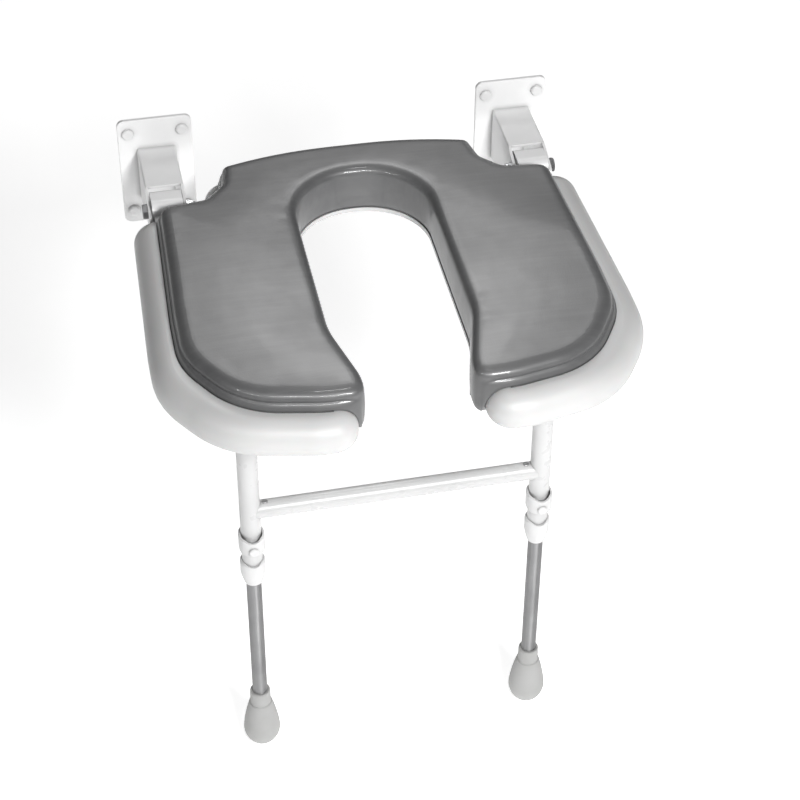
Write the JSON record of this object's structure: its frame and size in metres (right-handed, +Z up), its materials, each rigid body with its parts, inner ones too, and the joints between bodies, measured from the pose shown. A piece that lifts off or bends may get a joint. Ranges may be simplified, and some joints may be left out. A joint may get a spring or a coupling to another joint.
{
  "type": "shower chair",
  "caption": "Wall-mounted fold-up shower seat: padded horseshoe seat on hinged brackets with height-adjustable drop-down legs.",
  "frame": {"origin": "on the wall plane, midway between the two wall plates, at the height of their centres", "axes": "+Y into the wall, +Z up, +X to the right of a person facing the wall; the seat projects along -Y"},
  "size_m": [0.49, 0.48, 0.6315],
  "materials": {
    "white_coated_steel": "smooth satin powder coat",
    "white_coated_tube": "smooth satin powder coat",
    "white_cap_plastic": "satin",
    "white_leg_plastic": "satin moulded nylon",
    "white_moulding": "smooth satin moulding",
    "grey_vinyl": "semi-gloss vinyl with faint grain",
    "dark_fastener": "dark, dull",
    "zinc_steel": "zinc plated",
    "rivet_metal": "dull",
    "nylon": "natural nylon",
    "bare_tube": "satin drawn tube",
    "pale_rubber": "matt"
  },
  "bodies": {
    "wall_brackets": {"left_wall_plate": "white_coated_steel", "left_screw_caps": "white_cap_plastic", "left_housing": "white_coated_steel", "left_pivot_bolt": "dark_fastener", "left_pivot_nut": "zinc_steel", "right_wall_plate": "white_coated_steel", "right_screw_caps": "white_cap_plastic", "right_housing": "white_coated_steel", "right_pivot_bolt": "dark_fastener", "right_pivot_nut": "zinc_steel"},
    "seat": {"seat_base": "white_moulding", "seat_pad": "grey_vinyl", "arm_screws": "zinc_steel", "rear_stiffener": "zinc_steel", "stiffener_screws": "zinc_steel", "left_hinge_arm": "white_coated_steel", "left_pivot_bush": "nylon", "left_leg_bracket": "white_coated_steel", "left_leg_bracket_screws": "zinc_steel", "left_leg_pin": "zinc_steel", "left_pin_clip": "zinc_steel", "right_hinge_arm": "white_coated_steel", "right_pivot_bush": "nylon", "right_leg_bracket": "white_coated_steel", "right_leg_bracket_screws": "zinc_steel", "right_leg_pin": "zinc_steel", "right_pin_clip": "zinc_steel"},
    "leg_frame": {"crossbar": "white_coated_tube", "crossbar_rivets": "rivet_metal", "left_outer_leg": "white_coated_tube", "left_leg_top_plug": "nylon", "left_end_collar": "white_leg_plastic", "left_collar_screw": "zinc_steel", "right_outer_leg": "white_coated_tube", "right_leg_top_plug": "nylon", "right_end_collar": "white_leg_plastic", "right_collar_screw": "zinc_steel"},
    "left_lock_ring": {"left_lock_ring": "white_leg_plastic", "left_lock_pin": "zinc_steel", "left_ring_spring": "zinc_steel"},
    "left_inner_leg": {"left_inner_leg": "bare_tube", "left_glide_bush": "nylon", "left_ferrule": "pale_rubber", "left_ferrule_washer": "zinc_steel"},
    "right_lock_ring": {"right_lock_ring": "white_leg_plastic", "right_lock_pin": "zinc_steel", "right_ring_spring": "zinc_steel"},
    "right_inner_leg": {"right_inner_leg": "bare_tube", "right_glide_bush": "nylon", "right_ferrule": "pale_rubber", "right_ferrule_washer": "zinc_steel"}
  },
  "joints": [
    {"name": "seat_fold", "type": "hinge", "parent": "wall_brackets", "child": "seat", "pos_m": [0, -0.096, 0.013], "axis": [-1, 0, 0], "range_deg": [0, 90]},
    {"name": "leg_fold", "type": "hinge", "parent": "seat", "child": "leg_frame", "pos_m": [0, -0.338, -0.036], "axis": [-1, 0, 0], "range_deg": [-90, 0]},
    {"name": "left_leg_height", "type": "slide", "parent": "leg_frame", "child": "left_inner_leg", "axis": [0, 0, 1], "range_m": [-0.025, 0.125], "deforming": ["left_lock_pin"]},
    {"name": "left_lock_press", "type": "slide", "parent": "leg_frame", "child": "left_lock_ring", "axis": [0, 1, 0], "range_m": [0, 0.004], "stiffness_N_per_m": 800, "springref_m": -0.004, "deforming": ["left_ring_spring"]},
    {"name": "right_leg_height", "type": "slide", "parent": "leg_frame", "child": "right_inner_leg", "axis": [0, 0, 1], "range_m": [-0.025, 0.125], "deforming": ["right_lock_pin"]},
    {"name": "right_lock_press", "type": "slide", "parent": "leg_frame", "child": "right_lock_ring", "axis": [0, 1, 0], "range_m": [0, 0.004], "stiffness_N_per_m": 800, "springref_m": -0.004, "deforming": ["right_ring_spring"]}
  ],
  "couplings": [
    {"joint": "leg_fold", "follows": "seat_fold", "ratio": -1}
  ]
}
